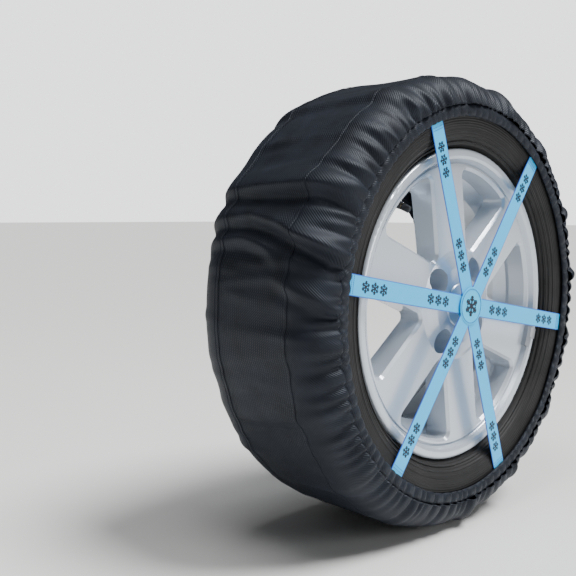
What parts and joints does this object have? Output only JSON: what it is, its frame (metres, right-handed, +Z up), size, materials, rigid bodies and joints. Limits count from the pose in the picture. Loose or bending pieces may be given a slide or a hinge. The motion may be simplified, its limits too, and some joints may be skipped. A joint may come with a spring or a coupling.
{
  "type": "snow sock tire",
  "caption": "Car wheel with tyre wearing a textile snow sock: gathered black cloth with elastic hems over the tread and webbing straps crossing the street face",
  "frame": {"origin": "centre of the wheel on its axis, midway between the two faces", "axes": "wheel axis along Y, street side toward -Y, car side toward +Y, +Z up as the wheel stands"},
  "size_m": [0.6004, 0.212, 0.6004],
  "materials": {
    "cast_alloy": "machined and lacquered",
    "tyre_rubber": "moulded matt",
    "valve_rubber": "moulded matt",
    "brass": "turned",
    "black_plastic": "moulded matt",
    "zinc_weight": "coated",
    "spring_steel": "plated",
    "cap_plastic": "silver lacquer on moulded plastic",
    "black_cloth": "woven",
    "elastic_band": "braided",
    "cyan_webbing": "woven webbing",
    "cyan_cloth": "woven",
    "blue_thread": "twisted thread"
  },
  "bodies": {
    "wheel": {"rim_centre": "cast_alloy", "rim_barrel": "cast_alloy", "tyre": "tyre_rubber", "valve_stem": "valve_rubber", "valve_core": "brass", "balance_weight": "zinc_weight", "weight_clip": "spring_steel"},
    "valve_cap": {"valve_cap": "black_plastic"},
    "valve_pin": {"valve_pin": "brass"},
    "centre_cap": {"centre_cap": "cap_plastic", "cap_ring": "spring_steel"},
    "sock": {"tread_band": "black_cloth", "outer_panel": "black_cloth", "inner_panel": "black_cloth", "seam_outer": "black_cloth", "seam_inner": "black_cloth", "outer_hem": "black_cloth", "inner_hem": "black_cloth", "outer_elastic": "elastic_band", "inner_elastic": "elastic_band", "strap_a": "cyan_webbing", "strap_b": "cyan_webbing", "strap_c": "cyan_webbing", "bar_tacks": "blue_thread", "patch_front": "cyan_cloth", "patch_back": "cyan_cloth", "patch_stitch": "blue_thread"}
  },
  "joints": [
    {"name": "valve_cap_off", "type": "slide", "parent": "wheel", "child": "valve_cap", "axis": [0.3216, -0.8453, -0.4268], "range_m": [0, 0.012]},
    {"name": "valve_pin_press", "type": "slide", "parent": "wheel", "child": "valve_pin", "axis": [-0.3216, 0.8453, 0.4268], "range_m": [0, 0.0015], "stiffness_N_per_m": 800, "springref_m": -0.0015},
    {"name": "centre_cap_off", "type": "slide", "parent": "wheel", "child": "centre_cap", "axis": [0, -1, 0], "range_m": [0, 0.009]},
    {"name": "sock_creep", "type": "hinge", "parent": "wheel", "child": "sock", "pos_m": [0, 0, 0], "axis": [0, 1, 0], "continuous": true}
  ]
}
